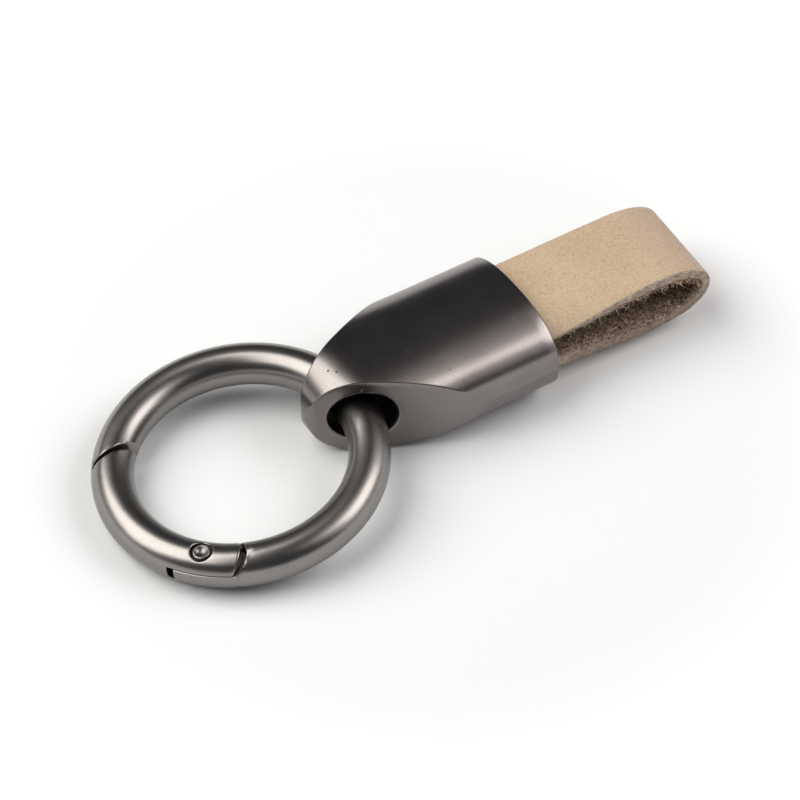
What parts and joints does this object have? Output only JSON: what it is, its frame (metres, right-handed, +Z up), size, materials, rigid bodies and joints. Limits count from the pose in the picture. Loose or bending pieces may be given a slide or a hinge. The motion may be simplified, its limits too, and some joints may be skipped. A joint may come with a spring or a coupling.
{
  "type": "leather key holder",
  "caption": "Key holder: spring gate ring through the nose of a gunmetal end cap, which grips a short folded leather strap.",
  "frame": {"origin": "middle of the footprint, on the surface that the key holder lies on", "axes": "+X from the ring to the fold of the strap, +Y across the cap, +Z up from the surface"},
  "size_m": [0.0806, 0.035, 0.0119],
  "materials": {
    "ring_metal": "satin gunmetal plating",
    "gate_metal": "satin gunmetal plating",
    "pin_metal": "satin gunmetal plating",
    "spring_wire": "bright drawn wire",
    "cap_metal": "satin gunmetal plating with a few fine pits",
    "strap_leather": "natural tan grain outside, fuzzy brown flesh side inside, raw cut edges",
    "set_adhesive": "set contact adhesive"
  },
  "bodies": {
    "cap": {"end_cap": "cap_metal", "leather_strap": "strap_leather", "glue_plug": "set_adhesive"},
    "ring": {"ring_body": "ring_metal"},
    "gate": {"gate": "gate_metal", "gate_pin": "pin_metal", "gate_spring": "spring_wire"}
  },
  "joints": [
    {"name": "ring_swing", "type": "hinge", "parent": "cap", "child": "ring", "pos_m": [-0.00805, 0.00122, 0.00562], "axis": [-0.0809, 0.9967, -0.0085], "range_deg": [-60, 60]},
    {"name": "gate_hinge", "type": "hinge", "parent": "ring", "child": "gate", "pos_m": [-0.03356, -0.01051, 0.00295], "axis": [0.1042, 0, -0.9946], "range_deg": [0, 35], "stiffness_Nm_per_rad": 0.00076, "springref_deg": -97.4, "deforming": ["gate_spring"]}
  ]
}
